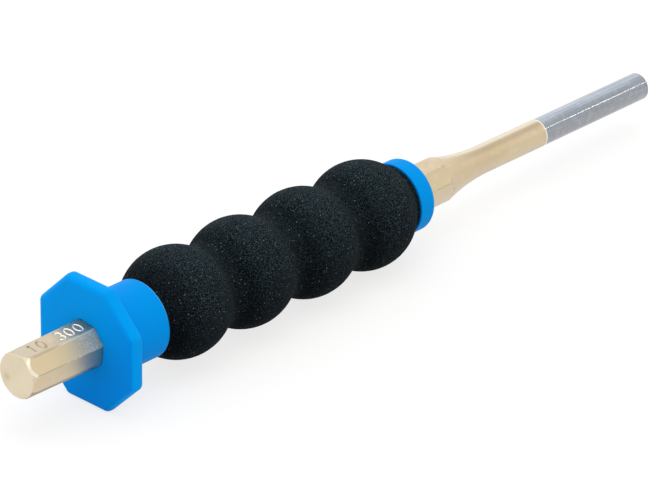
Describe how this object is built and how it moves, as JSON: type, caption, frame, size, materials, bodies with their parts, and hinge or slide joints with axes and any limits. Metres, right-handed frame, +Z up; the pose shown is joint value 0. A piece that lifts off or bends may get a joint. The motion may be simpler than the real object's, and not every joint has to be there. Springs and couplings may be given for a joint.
{
  "type": "pin punch",
  "caption": "Octagon-shank steel pin punch with a flat struck head, hollow neck and round pin, held in an octagon hand guard with a ball-shaped foam grip and a front ring.",
  "frame": {"origin": "centre of the struck face, on the tool's axis", "axes": "+X along the tool's axis from the struck face to the tip, +Z up and square to a flat of the guard, as the tool lies on a bench"},
  "size_m": [0.3, 0.0434, 0.0434],
  "materials": {
    "lacquered_steel": "satin",
    "blue_plastic": "satin",
    "black_foam": "matte"
  },
  "bodies": {
    "root": {"punch": "lacquered_steel", "handle_core": "blue_plastic", "grip_sleeve": "black_foam", "front_ring": "blue_plastic"}
  },
  "joints": []
}
